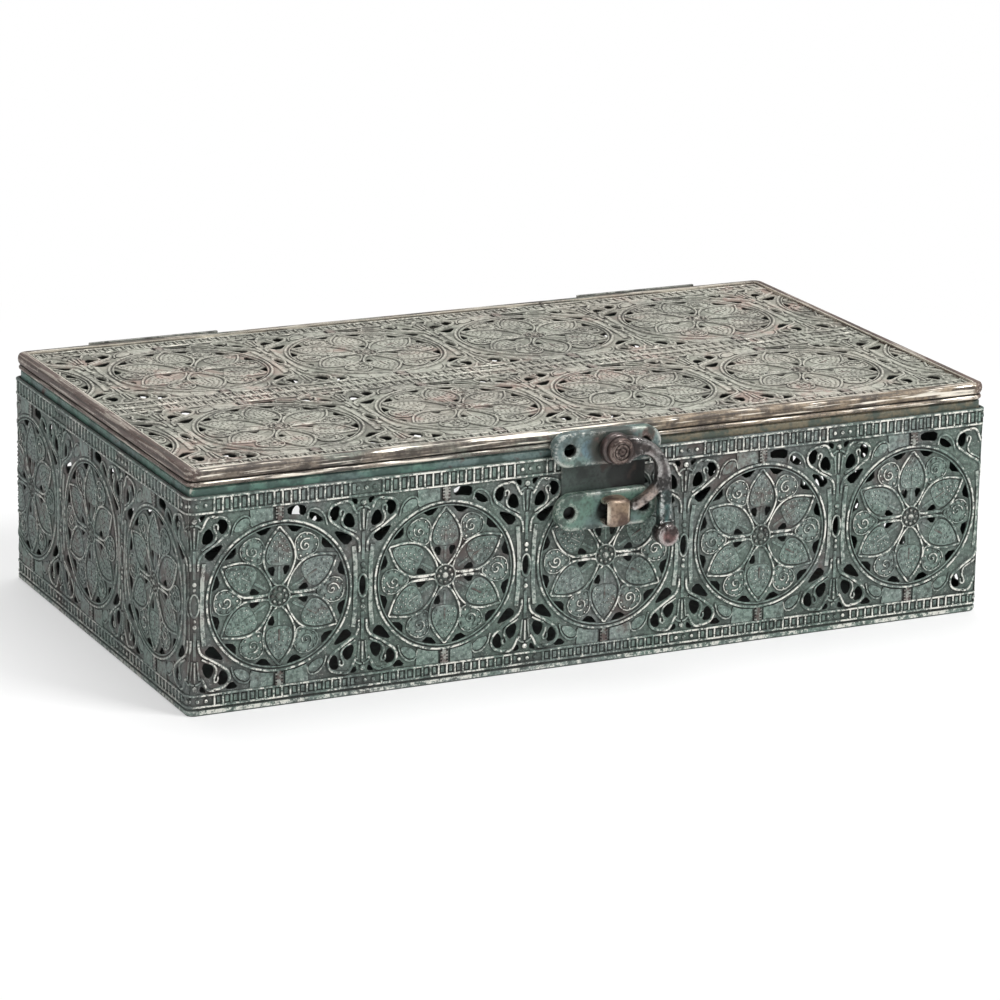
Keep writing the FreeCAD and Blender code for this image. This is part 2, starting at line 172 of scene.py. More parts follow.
def rounded(points, closed=True, times=2):
    """The same outline with its corners cut off, so that it runs smoothly."""
    for _ in range(times):
        after = points[1:] + points[:1] if closed else points[1:]
        cut = []
        for (x, y), (next_x, next_y) in zip(points, after):
            cut.append((0.75 * x + 0.25 * next_x, 0.75 * y + 0.25 * next_y))
            cut.append((0.25 * x + 0.75 * next_x, 0.25 * y + 0.75 * next_y))
        points = cut if closed else [points[0]] + cut + [points[-1]]
    return points


def circle(x, y, radius, steps, stretch=1.0):
    """Points round a circle, or round an oval if its height is stretched."""
    turns = [2 * math.pi * step / steps for step in range(steps)]
    return [(x + radius * math.cos(turn), y + stretch * radius * math.sin(turn)) for turn in turns]


def turned(points, degrees):
    """The same points, turned about the rosette's middle."""
    cosine, sine = math.cos(math.radians(degrees)), math.sin(math.radians(degrees))
    return [(cosine * x - sine * y, sine * x + cosine * y) for x, y in points]


def mirrored(points, x=1, y=1):
    """The same points, flipped left to right if x is -1 and upside down if y is -1."""
    return [(x * across, y * rise) for across, rise in points]


# Petals: six pointed leaves with a wire edge, a raised inner leaf and rows of punched dots
petal_side = [(2.7, 0.7), (3.6, 1.6), (5.0, 2.6), (7.0, 3.6), (9.0, 4.15), (11.0, 4.05), (13.0, 3.35),
              (15.0, 2.05), (16.4, 0.85), (17.5, 0)]
leaf_side = [(7.6, 0.6), (7.9, 2.6), (9.2, 3.5), (11.0, 3.4), (12.9, 2.75), (14.8, 1.6), (16.0, 0.6)]
stem_hole = [(7.5, 0.9), (7.2, 3.3), (4.3, 1.5)]
dot_rows = [(8.7, 2.0), (9.6, 2.6), (10.6, 2.65), (11.6, 2.35), (12.6, 1.9), (13.6, 1.35), (14.6, 0.65),
            (9.2, 1.0), (10.3, 1.2), (11.4, 1.05), (12.5, 0.7)]
middle_dots = [(12.2, 0), (13.4, 0), (15.4, 0)]
dot_radius = 0.27
stem = [(4.0, 0), (7.4, 0)]
vein = [(8.4, 0), (11.2, 0)]
petal_thick, petal_height = 0.33, ground + 0.12
ring_radius, ring_thick, ring_steps = 18.7, 0.4, 56
inner_ring_radius, inner_ring_thick = 17.8, 0.24
rim_hole = [(17.9, 1.5), (16.8, 6.6), (14.9, 3.9)]
rusty_petals = (30, 270, 330)
wires = []
plates = []
beads = []
holes = []
rust_wires = []


def wire(points, thick, height=ground + 0.06, closed=False, store=wires):
    store.append((points, thick, height, closed))


def bead(x, y, radius, height=ground):
    beads.append((x, y, radius, height))


wire(circle(0, 0, ring_radius, ring_steps), ring_thick, closed=True)
wire(circle(0, 0, inner_ring_radius, ring_steps), inner_ring_thick, closed=True)
for axis in range(30, 390, 60):
    edge = petal_side + mirrored(petal_side[:-1], y=-1)[::-1]
    wire(turned(rounded(edge, closed=False, times=1), axis), petal_thick, petal_height)
    inner_leaf = leaf_side + mirrored(leaf_side, y=-1)[::-1]
    plates.append((turned(rounded(inner_leaf, times=1), axis), ground + 0.16))
    wire(turned(stem, axis), 0.55, ground - 0.35)
    vein_store = rust_wires if axis in rusty_petals else wires
    wire(turned(vein, axis), 0.28, store=vein_store)
    for across in (1, -1):
        for dot in turned(mirrored(dot_rows, y=across), axis):
            bead(*dot, dot_radius, petal_height)
        holes.append(rounded(turned(mirrored(rim_hole, y=across), axis), times=1))
    for dot in turned(middle_dots, axis):
        bead(*dot, dot_radius, petal_height)

# Gaps beside the petals' stems, on seven of their twelve sides, and two wires left and right of the boss
stem_gaps = ((90, 1), (90, -1), (30, -1), (-30, 1), (150, 1), (210, -1), (270, -1))
wire_start, wire_end, wire_rise = 3.2, 9.3, 0.55
for axis, across in stem_gaps:
    holes.append(rounded(turned(mirrored(stem_hole, y=across), axis), times=1))
for across in (1, -1):
    for rise in (wire_rise, -wire_rise):
        wire([(across * wire_start, rise), (across * wire_end, rise)], petal_thick, ground + 0.14)

# Shields: little framed roundels in the gaps between the petals, and a beaded boss in the middle
shield = [(9.4, 0), (11.6, 1.9), (13.6, 3.3), (16.2, 2.6), (17.0, 0), (16.2, -2.6), (13.6, -3.3),
          (11.6, -1.9)]
spiral = [(13.5, 0.3), (14.1, 0.5), (14.3, -0.2), (13.8, -0.8), (13.0, -0.7), (12.5, 0.1), (12.8, 1.1),
          (13.8, 1.6), (15.0, 1.2), (15.6, 0)]
shield_beads = ((10.9, 0, 0.35), (12.0, 1.3, 0.28), (13.4, 2.4, 0.3), (15.0, 2.3, 0.3), (16.3, 1.2, 0.3))
boss_radius, boss_beads, boss_bead_reach = 2.75, 8, 1.75
for axis in range(0, 360, 60):
    shield_edge = rounded(shield, times=1)
    plates.append((turned(shield_edge, axis), ground + 0.1))
    wire(turned(shield_edge, axis), 0.22, ground + 0.16, closed=True)
    wire(turned(rounded(spiral, closed=False, times=1), axis), 0.25, ground + 0.18)
    for x, y, radius in shield_beads:
        for across in ((1, -1) if y else (1,)):
            bead(*turned([(x, across * y)], axis)[0], radius, ground + 0.14)
wire(circle(0, 0, boss_radius, 20), 0.3, closed=True)
bead(0, 0, 1.0, ground - 0.2)
for x, y in circle(0, 0, boss_bead_reach, boss_beads):
    bead(x, y, 0.5)

# Columns: two flat rails beside an oval slot, with a heart of two scrolls and a ball at either end
ear_ring = [(-4.9, 21.5), (-6.7, 21.5), (-8.6, 20.6), (-9.3, 18.7), (-8.5, 16.9), (-7.0, 15.9), (-5.6, 14.9),
            (-4.2, 14.0), (-2.8, 13.2), (-1.6, 12.2), (-1.0, 10.6), (-1.0, 8.6)]
heart_top = [(-5.4, 21.6), (-4.2, 21.8), (-3.2, 21.2), (-2.6, 20.0), (-2.1, 18.9), (-1.5, 18.2)]
curl = [(-6.0, 18.3), (-6.1, 19.3), (-5.5, 19.8), (-4.9, 19.3), (-5.2, 18.3), (-5.7, 17.3), (-5.6, 16.0),
        (-4.7, 15.0), (-3.3, 14.4), (-1.9, 13.6)]
rail = [(-2.5, -10.2), (-2.05, -6), (-1.95, 0), (-2.05, 6), (-2.5, 10.2)]
inner_ear = [(-1.9, 15.0), (-2.6, 18.0), (-4.2, 18.9), (-5.4, 16.3), (-3.9, 14.6)]
outer_ear = [(-6.0, 20.8), (-8.6, 20.5), (-8.9, 18.4), (-7.4, 16.6), (-6.3, 17.8)]
wedge = [(-2.3, 12.2), (-4.9, 13.9), (-7.8, 14.6), (-6.3, 12.2), (-4.4, 10.2)]
top_gap = [(-1.2, 21.9), (-3.4, 22.2), (-1.8, 20.0)]
stalk = [(-1.25, 18.7), (-0.95, 16.5), (-0.75, 14.0)]
collar = [(-1.9, 19.0), (-1.0, 19.7), (-0.2, 19.9)]
middle_pins = ((19.3, 14.2, 0.4, ground), (13.6, 6.6, 0.75, ground - 0.4))
middle_balls = ((20.9, 0.85), (3.9, 0.6), (5.3, 0.75))
for side in (1, -1):
    at = side * half_pitch
    for end in (1, -1):
        for line, thick, height in ((ear_ring, 0.42, ground + 0.03), (heart_top, 0.42, ground + 0.03),
                                    (curl, 0.35, ground + 0.06)):
            bent = mirrored(rounded(line, closed=False, times=1), x=side, y=end)
            wire([(at + x, y) for x, y in bent], thick, height)
        for line in (stalk, collar):
            wire([(at + x, y) for x, y in mirrored(line, x=side, y=end)], 0.34, ground)
        for hole in (inner_ear, outer_ear, wedge, top_gap):
            holes.append([(at + x, y) for x, y in rounded(mirrored(hole, x=side, y=end), times=1)])
    wire([(at + x, y) for x, y in mirrored(rail, x=side)], 1.0, ground - 0.55)
for end in (1, -1):
    for top, foot, thick, height in middle_pins:
        wire([(half_pitch, top * end), (half_pitch, foot * end)], thick, height)
    for y, radius in middle_balls:
        bead(half_pitch, end * y, radius, ground - 0.1)
wire(circle(half_pitch, 0, 1.25, 20, 2.3), 0.32, closed=True)
slot = circle(half_pitch, 0, 0.85, 16, 2.9)

# Tabs: ribbed pins that tie the ring to the bands, between flat blocks and small leaves
block = [(-7.7, 22.4), (-1.6, 22.4), (-1.6, 19.1), (-4.6, 18.8), (-7.2, 17.9)]
leaf = [(-11.9, 17.0), (-11.2, 19.0), (-9.4, 20.4), (-7.7, 20.2), (-7.5, 18.7), (-9.4, 17.2)]
leaf_edge = [(-12.4, 16.4), (-11.7, 19.1), (-9.7, 20.9), (-7.7, 20.7), (-7.2, 18.4)]
tab_slot = [(2.1, 22.0), (7.2, 22.0), (7.0, 19.2), (4.6, 19.7), (2.2, 19.8)]
leaf_slot = [(7.6, 20.1), (9.4, 19.7), (11.7, 17.7), (10.3, 17.0), (8.0, 18.2)]
foot_slot = [(-14.2, -22.0), (-10.2, -22.0), (-12.2, -19.7)]
pin_foot, pin_head, pin_thick = 18.9, 22.6, 0.95
pin_ribs, rib_half = (19.7, 20.5, 21.3, 22.1), 1.0
holes += [rounded(hole, times=1) for hole in (tab_slot, leaf_slot, foot_slot)]
for end in (1, -1):
    wire([(0, pin_foot * end), (0, pin_head * end)], pin_thick, ground - 0.4, store=rust_wires)
    for rib in pin_ribs:
        wire([(-rib_half, rib * end), (rib_half, rib * end)], 0.4, ground + 0.08, store=rust_wires)
    for side in (1, -1):
        wire(mirrored(rounded(leaf_edge, closed=False, times=1), x=side, y=end), 0.3)
        if (side, end) != (-1, 1):
            plates.append((mirrored(block, x=side, y=end), ground + 0.26))
            plates.append((mirrored(rounded(leaf, times=1), x=side, y=end), ground + 0.22))


def wire_mesh(name, strands):
    """Round wires along open or closed lines, as one mesh."""
    curve = bpy.data.curves.new(name, "CURVE")
    curve.dimensions = "3D"
    curve.bevel_depth = 1.0 * mm
    curve.bevel_resolution = 1
    curve.use_fill_caps = True
    for points, thick, height, closed in strands:
        line = curve.splines.new("POLY")
        line.points.add(len(points) - 1)
        for point, (x, y) in zip(line.points, points):
            point.co = (x * mm, y * mm, height * mm, 1)
            point.radius = thick
        line.use_cyclic_u = closed
    return made_mesh(name, curve)


def sheet_mesh(name, outlines, low, high, edge):
    """A flat plate between two heights, pierced where one outline lies inside another."""
    curve = bpy.data.curves.new(name, "CURVE")
    curve.dimensions = "2D"
    curve.fill_mode = "BOTH"
    curve.bevel_depth = edge * mm
    curve.bevel_resolution = 0
    curve.offset = -edge * mm
    curve.extrude = ((high - low) / 2 - edge) * mm
    for points in outlines:
        line = curve.splines.new("POLY")
        line.points.add(len(points) - 1)
        for point, (x, y) in zip(line.points, points):
            point.co = (x * mm, y * mm, 0, 1)
        line.use_cyclic_u = True
    made = made_mesh(name, curve)
    made.data.transform(Matrix.Translation((0, 0, (high + low) / 2 * mm)))
    return made


def pick(shape):
    """Makes a shape the only one selected, for the operators that follow."""
    bpy.ops.object.select_all(action="DESELECT")
    bpy.context.view_layer.objects.active = shape
    shape.select_set(True)


def made_mesh(name, curve):
    shape = bpy.data.objects.new(name, curve)
    bpy.context.collection.objects.link(shape)
    pick(shape)
    bpy.ops.object.convert(target="MESH")
    return bpy.context.object


def bead_mesh(name, spots):
    """Low domes, each a copy of one small sphere."""
    bpy.ops.mesh.primitive_uv_sphere_add(segments=7, ring_count=4, radius=mm)
    ball = bpy.context.object
    corners = [Vector(vertex.co) for vertex in ball.data.vertices]
    sides = [list(face.vertices) for face in ball.data.polygons]
    bpy.data.objects.remove(ball)
    points, faces = [], []
    for x, y, radius, height in spots:
        first = len(points)
        points += [corner * radius + Vector((x, y, height)) * mm for corner in corners]
        faces += [[first + corner for corner in face] for face in sides]
    mesh = bpy.data.meshes.new(name)
    mesh.from_pydata(points, [], faces)
    made = bpy.data.objects.new(name, mesh)
    bpy.context.collection.objects.link(made)
    return made


def joined(name, shapes):
    bpy.ops.object.select_all(action="DESELECT")
    for shape in shapes:
        shape.select_set(True)
    bpy.context.view_layer.objects.active = shapes[0]
    bpy.ops.object.join()
    shapes[0].name = name
    shapes[0].data.name = name
    return shapes[0]


def mark(shape, name, value):
    """Writes one number per point of the mesh, for its finish to read."""
    layer = shape.data.attributes.new(name, "FLOAT", "POINT")
    layer.data.foreach_set("value", [value(vertex.co) for vertex in shape.data.vertices])


plate_edge = 0.08
relief_back = sheet_back + 0.1
boss_rust, boss_rust_reach = 0.55, 2.6
fittings = [wire_mesh("wires", wires), bead_mesh("beads", beads)]
fittings += [sheet_mesh("leaf", [outline], ground - 0.3, top, plate_edge) for outline, top in plates]
for fitting in fittings:
    mark(fitting, "rust", lambda co: boss_rust if co.xy.length < boss_rust_reach * mm else 0.0)
pins = wire_mesh("pins", rust_wires)
mark(pins, "rust", lambda co: 1.0)
relief = joined("rosette_relief", fittings + [pins])
for vertex in relief.data.vertices:
    vertex.co.z = max(vertex.co.z, relief_back * mm)


def ladder(name, start, end, low, high, step, columns):
    """A band of rungs and small pads between two long wires, with beads in place of rungs at each column."""
    wire_inset, rung_inset, pad_inset = 0.4, 0.6, 0.95
    wire_thick, wire_height = 0.33, -0.34
    rung_thick, rung_height = 0.36, -0.4
    dot_size, dot_height = 0.6, -0.5
    slab_back, slab_face, slab_edge = -1.1, -0.6, 0.1
    pad_back, pad_face = -0.75, -0.34
    pad_half = 0.22 * step
    column_half = 1.6 * step
    strands = [([(start, y), (end, y)], wire_thick, wire_height, False)
               for y in (low + wire_inset, high - wire_inset)]
    dots = []
    pads = []
    count = round((end - start) / step)
    for rung in range(count + 1):
        x = start + rung * step
        if min(abs(x - column) for column in columns) < column_half:
            dots.append((x, (low + high) / 2, dot_size, dot_height))
            continue
        strands.append(([(x, low + rung_inset), (x, high - rung_inset)], rung_thick, rung_height, False))
        left, right = x + step / 2 - pad_half, x + step / 2 + pad_half
        foot, head = low + pad_inset, high - pad_inset
        pads.append([(left, foot), (right, foot), (right, head), (left, head)])
    slab = [(start, low), (end, low), (end, high), (start, high)]
    return joined(name, [
        sheet_mesh("slab", [slab], slab_back, slab_face, slab_edge), wire_mesh("rungs", strands),
        sheet_mesh("pads", pads, pad_back, pad_face, plate_edge), bead_mesh("dots", dots),
    ])


def strip(name, half, low, high, centres, scale, bands, extra):
    """A whole flat strip of filigree, its face towards +Z and its outermost plane at zero."""
    outlines = [[(-half, low), (half, low), (half, high), (-half, high)]]
    end_margin = 2.2
    rungs_per_repeat = 20
    for centre in centres:
        for hole in holes + [slot]:
            moved = [(centre + scale * x, scale * y) for x, y in hole]
            if all(abs(x) < half - end_margin for x, y in moved):
                outlines.append(moved)
    shapes = [sheet_mesh(name, outlines, sheet_back, ground, plate_edge)]
    columns = [centre + scale * half_pitch for centre in centres]
    columns.append(centres[0] - scale * half_pitch)
    for band_low, band_high in bands:
        step = scale * pitch / rungs_per_repeat
        shapes.append(ladder("band", -half, half, band_low, band_high, step, columns))
    edges = [([(-half, y), (half, y)], thick, height, False) for y, thick, height in extra]
    shapes.append(wire_mesh("edges", edges))
    for centre in centres:
        copy = relief.copy()
        copy.data = relief.data.copy()
        bpy.context.collection.objects.link(copy)
        copy.data.transform(Matrix.Translation((centre * mm, 0, 0)) @ Matrix.Diagonal((scale, scale, 1, 1)))
        shapes.append(copy)
    made = joined(name, shapes)
    for side in (1, -1):
        cut(made, side * half, side)
    mark(made, "raised", lambda co: co.z / mm)
    return made


def cut(shape, at, side=0):
    """Cuts a mesh across its length, and takes away what lies beyond if a side is given."""
    pick(shape)
    bpy.ops.object.mode_set(mode="EDIT")
    bpy.ops.mesh.select_all(action="SELECT")
    bpy.ops.mesh.bisect(plane_co=(at * mm, 0, 0), plane_no=(side or 1, 0, 0), use_fill=bool(side),
                        clear_outer=bool(side))
    bpy.ops.object.mode_set(mode="OBJECT")


# Walls: four strips of filigree, bent round the box's corners and soldered where they meet.
# They are pressed from thin metal, painted green and rubbed back to bare metal on the wires.
length, depth, wall_top = 220.0, 122.0, 54.6
corner = 2.5
bend_step = corner * math.pi / 12
row = 27.8
row_shift = 1.2
wall_bands = [(22.3, wall_top - row), (-25.9, -22.3)]
foot_wire = (-26.9, 0.9, -0.9)


def patina(name, body, cool, shade, worn, leaves, stain, wear, grime_and_shade):
    """Paint over pressed metal: rubbed where raised, rusty on pins, darkened in corners and holes by grime
    and painted shade, and painted dull at the left as shade on that side.
    """
    material = bpy.data.materials.new(name)
    material.use_nodes = True
    tint = Tint(material.node_tree)
    shader = material.node_tree.nodes["Principled BSDF"]
    place = tint.node("ShaderNodeTexCoord", out=3)

    def cloud(scale, detail=3.0, rough=0.6, shift=0.0):
        offset = (shift, shift * 0.7, shift * 1.3)
        moved = tint.node("ShaderNodeVectorMath", {"operation": "ADD"}, {0: place, 1: offset})
        return tint.node("ShaderNodeTexNoise", None, {
            "Vector": moved, "Scale": scale, "Detail": detail, "Roughness": rough,
        })

    raised = tint.node("ShaderNodeAttribute", {"attribute_name": "raised"}, out=2)
    rust = tint.node("ShaderNodeAttribute", {"attribute_name": "rust"}, out=2)
    hollow = tint.node("ShaderNodeAmbientOcclusion", {"samples": 6, "only_local": True},
                       {"Distance": 1.2 * mm}, out=1)
    broad = cloud(38, shift=0.11)
    patch = cloud(110, shift=0.37)
    fine = cloud(900, shift=0.05)
    speck = cloud(2600, 2.0, 0.5, 0.61)
    soot = cloud(75, 5.0, 0.7, 0.83)
    paint = broad.between(0.4, 0.62).blend(body, cool)
    paint = (patch.between(0.5, 0.72) * 0.75).blend(paint, shade)
    paint = ((1 - fine.between(0.36, 0.54)) * 0.65).blend(paint, shade)
    paint = ((1 - soot.between(0.36, 0.56)) * 0.55).blend(paint, grime_and_shade)
    paint = (speck.between(0.56, 0.7) * fine.between(0.45, 0.62) * 0.6).blend(paint, worn)
    brown = patch.between(0.47, 0.62) * broad.between(0.5, 0.6) * 0.65
    paint = brown.blend(paint, stain)
    rust_colour = (0.075, 0.034, 0.03)
    paint = (rust * 0.85).blend(paint, rust_colour)
    along = tint.node("ShaderNodeSeparateXYZ", None, {0: place})
    # At the left wall the paint is duller and flatter, with fewer worn wires and lighter corners: painted
    # shade for that side, with a few stains on it.
    left_face, left_bend = -108.5 * mm, -106.5 * mm
    left = 1 - along.between(left_face, left_bend)
    left_shade_green = (0.15, 0.165, 0.16)
    paint = (left * 0.4).blend(paint, left_shade_green)
    paint = (left * patch.between(0.45, 0.6) * 0.4).blend(paint, stain)
    lifted = raised.between(ground + 0.02, ground + 0.1)
    # The flat ground between the raised work is darkened, partly grime and partly painted shade in the
    # recess.
    paint = ((1 - lifted) * 0.3).blend(paint, shade)
    paint = (lifted * (0.1 + fine.between(0.4, 0.6) * 0.35)).blend(paint, leaves)
    high = raised.between(ground + 0.24, ground + 0.43)
    rubbed = high * (patch * 0.9 + fine * 0.9 + speck * 0.5).between(1.44 - wear, 1.66 - wear)
    # Wires rub less on the rusty pins, and less at the left as part of the painted shade there.
    rubbed = rubbed * (1 - rust * 0.75) * (1 - left * 0.5)
    paint = rubbed.blend(paint, worn)
    # Corners beside the raised work are darkened, partly grime and partly painted shade, less so at the left.
    sunk = (1 - hollow.between(0.5, 0.96)) * (0.98 - left * 0.35)
    paint = sunk.blend(paint, grime_and_shade)
    # The walls of the piercings are painted nearly black: painted shade inside the holes.
    pierced = 1 - raised.between(ground - 0.4, ground - 0.1)
    paint = (pierced * 0.95).blend(paint, grime_and_shade)
    inside = 1 - raised.between(sheet_back + 0.01, sheet_back + 0.04)
    paint = (inside * (0.45 + broad * 0.7)).blend(paint, shade)
    tree = material.node_tree
    tree.links.new(paint.socket, shader.inputs["Base Color"])
    rough = 0.62 - rubbed * 0.25 + fine * 0.12
    tree.links.new(rough.socket, shader.inputs["Roughness"])
    metal = rubbed * 0.55
    tree.links.new(metal.socket, shader.inputs["Metallic"])
    bumps = fine * 0.6 + speck * 0.4
    dents = tint.node("ShaderNodeBump", None, {"Strength": 0.55, "Distance": 0.2 * mm, "Height": bumps})
    tree.links.new(dents.socket, shader.inputs["Normal"])
    return material


wall_paint = patina(
    "green_patina", body=(0.14, 0.2, 0.165), cool=(0.175, 0.19, 0.185), shade=(0.04, 0.054, 0.048),
    worn=(0.84, 0.83, 0.76), leaves=(0.2, 0.28, 0.25), stain=(0.1, 0.055, 0.05), wear=0.36,
    grime_and_shade=(0.01, 0.009, 0.008),
)


def bend_round(shape, half):
    """Bends both ends of a flat strip round the box's corners, as far as the mitre."""
    flat = half - corner
    for step in range(3):
        for side in (1, -1):
            cut(shape, side * (flat + step * bend_step))
    for vertex in shape.data.vertices:
        x, y, z = vertex.co / mm
        beyond = max(0, abs(x) - flat)
        turn = beyond / corner
        along = math.copysign(min(abs(x), flat) + (corner + z) * math.sin(turn), x)
        out = (corner + z) * math.cos(turn) - corner
        vertex.co = Vector((along, -out, y + row)) * mm


for side, span, spin in (
    ("front", length, 0), ("right", depth, 90), ("back", length, 180), ("left", depth, 270),
):
    half = span / 2
    end = half - corner + corner * math.pi / 4
    first = {"right": half_pitch - half, "left": half - half_pitch}.get(side, row_shift)
    centres = [first + pitch * step for step in range(-4, 5)]
    centres = [centre for centre in centres if abs(centre) < half + half_pitch]
    wall = strip(f"{side}_filigree", end, -row, wall_top - row, centres, 1.0, wall_bands, [foot_wire])
    bend_round(wall, half)
    out = depth / 2 if span == length else length / 2
    wall.data.transform(Matrix.Rotation(math.radians(spin), 4, "Z") @ Matrix.Translation((0, -out * mm, 0)))
    bpy.ops.object.shade_smooth_by_angle(angle=math.radians(50))
    wall.data.materials.append(wall_paint)
    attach(wall, "case")
    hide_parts(f"{side}_wall")


# Shoulders and floor: plain bands behind the tops of the walls, and a plain sheet between their feet.
# They are bent from flat metal, painted as the walls are, and soldered in.
def plain_paint(name, body, cool, shade, worn, stain, wear, rough=0.5, metal=0.0, streak=0.0, nook=0.8,
                lip=0.5, spots=()):
    """The same paint on a smooth piece: blotched, rubbed to bare metal along its edges, with spots of stain
    and of painted shade, and darkened in hollows by grime and painted shade.
    """
    material = bpy.data.materials.new(name)
    material.use_nodes = True
    tint = Tint(material.node_tree)
    shader = material.node_tree.nodes["Principled BSDF"]
    place = tint.node("ShaderNodeTexCoord", out=3)

    def cloud(scale, detail=3.0, stretch=(1, 1, 1)):
        drawn = tint.node("ShaderNodeVectorMath", {"operation": "MULTIPLY"}, {0: place, 1: stretch})
        return tint.node("ShaderNodeTexNoise", None, {"Vector": drawn, "Scale": scale, "Detail": detail})

    broad = cloud(60)
    patch = cloud(230)
    fine = cloud(1300)
    along = tint.node("ShaderNodeSeparateXYZ", None, {0: place})
    ends_from, ends_full = 105 * mm, 108 * mm
    ends = tint.math("ABSOLUTE", along, 0.0).between(ends_from, ends_full)
    lengthwise = cloud(1500, 3.0, (0.04, 0.8, 1))
    crosswise = cloud(1500, 3.0, (0.8, 0.04, 1))
    scratch = lengthwise + ends * (crosswise - lengthwise)
    edge = tint.node("ShaderNodeAmbientOcclusion", {"samples": 6, "only_local": True, "inside": True},
                     {"Distance": lip * mm}, out=1)
    hollow = tint.node("ShaderNodeAmbientOcclusion", {"samples": 6, "only_local": True},
                       {"Distance": nook * mm}, out=1)
    paint = broad.between(0.42, 0.6).blend(body, cool)
    kept = 1.0
    ragged = 1.5 * mm
    for centre, radius, colour, cover in spots:
        away = tint.node("ShaderNodeVectorMath", {"operation": "DISTANCE"},
                         {0: place, 1: [value * mm for value in centre]}, out=1)
        away = away + (patch - 0.5) * ragged
        beyond = away.between(0.8 * radius * mm, 1.1 * radius * mm)
        paint = beyond.blend(colour, paint)
        kept = (1 - (1 - beyond) * cover) * kept
    paint = ((1 - patch.between(0.38, 0.56)) * 0.8).blend(paint, shade)
    paint = ((1 - fine.between(0.36, 0.52)) * 0.5).blend(paint, shade)
    paint = (patch.between(0.6, 0.7) * broad.between(0.48, 0.6)).blend(paint, stain)
    paint = (ends * (0.85 * streak)).blend(paint, stain)
    paint = ((1 - scratch.between(0.36, 0.46)) * (0.8 * streak)).blend(paint, shade)
    keen = 1 - edge.between(0.55, 0.95)
    scuff = scratch.between(0.5, 0.6) * (streak - ends * (0.65 * streak))
    scuff = scuff + fine.between(0.58, 0.72) * (0.25 * wear)
    rubbed = keen * (patch + fine * 0.6).between(0.95 - wear * 0.5, 1.15 - wear * 0.5) + scuff
    rubbed = rubbed.between(0.0, 1.0) * kept
    paint = rubbed.blend(paint, worn)
    # Hollows are darkened, partly grime and partly painted shade; a long nook reaches deep into holes.
    grime_and_shade = (0.015, 0.013, 0.011)
    paint = ((1 - hollow.between(0.45, 0.9)) * 0.9).blend(paint, grime_and_shade)
    tree = material.node_tree
    tree.links.new(paint.socket, shader.inputs["Base Color"])
    gloss = rough - rubbed * 0.18 + fine * 0.1
    tree.links.new(gloss.socket, shader.inputs["Roughness"])
    bare = metal + rubbed * (0.7 - metal * 0.5)
    tree.links.new(bare.socket, shader.inputs["Metallic"])
    bumps = fine + patch * 0.7
    dents = tint.node("ShaderNodeBump", None, {"Strength": 0.5, "Distance": 0.15 * mm, "Height": bumps})
    tree.links.new(dents.socket, shader.inputs["Normal"])
    return material


band_tan = ((64, -60, 55), 55, (0.17, 0.145, 0.095), 0.0)
band_paint = plain_paint(
    "band_paint", body=(0.1, 0.2, 0.16), cool=(0.13, 0.19, 0.18), shade=(0.04, 0.07, 0.06),
    worn=(0.5, 0.49, 0.43), stain=(0.09, 0.05, 0.045), wear=0.5, spots=(band_tan,),
)
floor_paint = plain_paint(
    "floor_paint", body=(0.06, 0.075, 0.07), cool=(0.075, 0.08, 0.075), shade=(0.03, 0.032, 0.03),
    worn=(0.2, 0.2, 0.19), stain=(0.05, 0.035, 0.03), wear=0.2, rough=0.65,
)
for side in ("front", "right", "back", "left"):
    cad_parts[f"{side}_shoulder"].data.materials.clear()
    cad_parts[f"{side}_shoulder"].data.materials.append(band_paint)
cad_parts["base_plate"].data.materials.clear()
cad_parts["base_plate"].data.materials.append(floor_paint)

# Lid strips: two rows of the same filigree, a little larger, laid side by side and soldered into the rim.
# Hands have rubbed the top far more than the walls, so most of its green has gone pale.
lid_face = 60.6
lid_pitch = 48.8
lid_half = 108.2
lid_row = 29.0
flange = 1.2
band_foot = 24.0
lid_paint = patina(
    "pale_patina", body=(0.35, 0.36, 0.305), cool=(0.4, 0.375, 0.32), shade=(0.16, 0.16, 0.13),
    worn=(0.66, 0.64, 0.56), leaves=(0.46, 0.45, 0.39), stain=(0.42, 0.28, 0.24), wear=0.3,
    grime_and_shade=(0.012, 0.01, 0.009),
)
lid_centres = [lid_pitch * (step + 0.5) for step in range(-3, 3)]
lid_bands = [(band_foot, lid_row), (-lid_row, -band_foot)]
for name, side in (("lid_front_filigree", -1), ("lid_back_filigree", 1)):
    low = -lid_row - (flange if side < 0 else 0)
    high = lid_row + (flange if side > 0 else 0)
    panel = strip(name, lid_half, low, high, lid_centres, lid_pitch / pitch, lid_bands, [])
    panel.data.transform(Matrix.Translation((0, side * lid_row * mm, lid_face * mm)))
    bpy.ops.object.shade_smooth_by_angle(angle=math.radians(50))
    panel.data.materials.append(lid_paint)
    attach(panel, "lid")
    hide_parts(name.replace("filigree", "strip"))
bpy.data.objects.remove(relief)

# Rim: a drawn moulding of a thin bead under a full one, bent round the lid and soldered to the strips.
# It is the most handled edge, so the paint is rubbed through to brown and silvery metal.
rim_half_length, rim_half_depth = 109.6, 60.6
rim_corner, corner_steps = 3.0, 8
rim_foot, rim_head, rim_width = 56.7, 61.1, 2.6
foot_inset, head_inset = 1.0, 1.1
thin_bead = (0.2, 56.75, 58.1)
full_bead = (0.0, 58.25, 61.05)
bead_depth, bead_steps = 0.75, 6
profile = [(rim_width, rim_foot), (foot_inset, rim_foot)]
for crest, low, high in (thin_bead, full_bead):
    middle, reach = (low + high) / 2, (high - low) / 2
    for step in range(bead_steps + 1):
        turn = math.pi * (step / bead_steps - 0.5)
        profile.append((crest + bead_depth * (1 - math.cos(turn)), middle + reach * math.sin(turn)))
profile += [(head_inset, rim_head), (rim_width, rim_head)]
ring = []
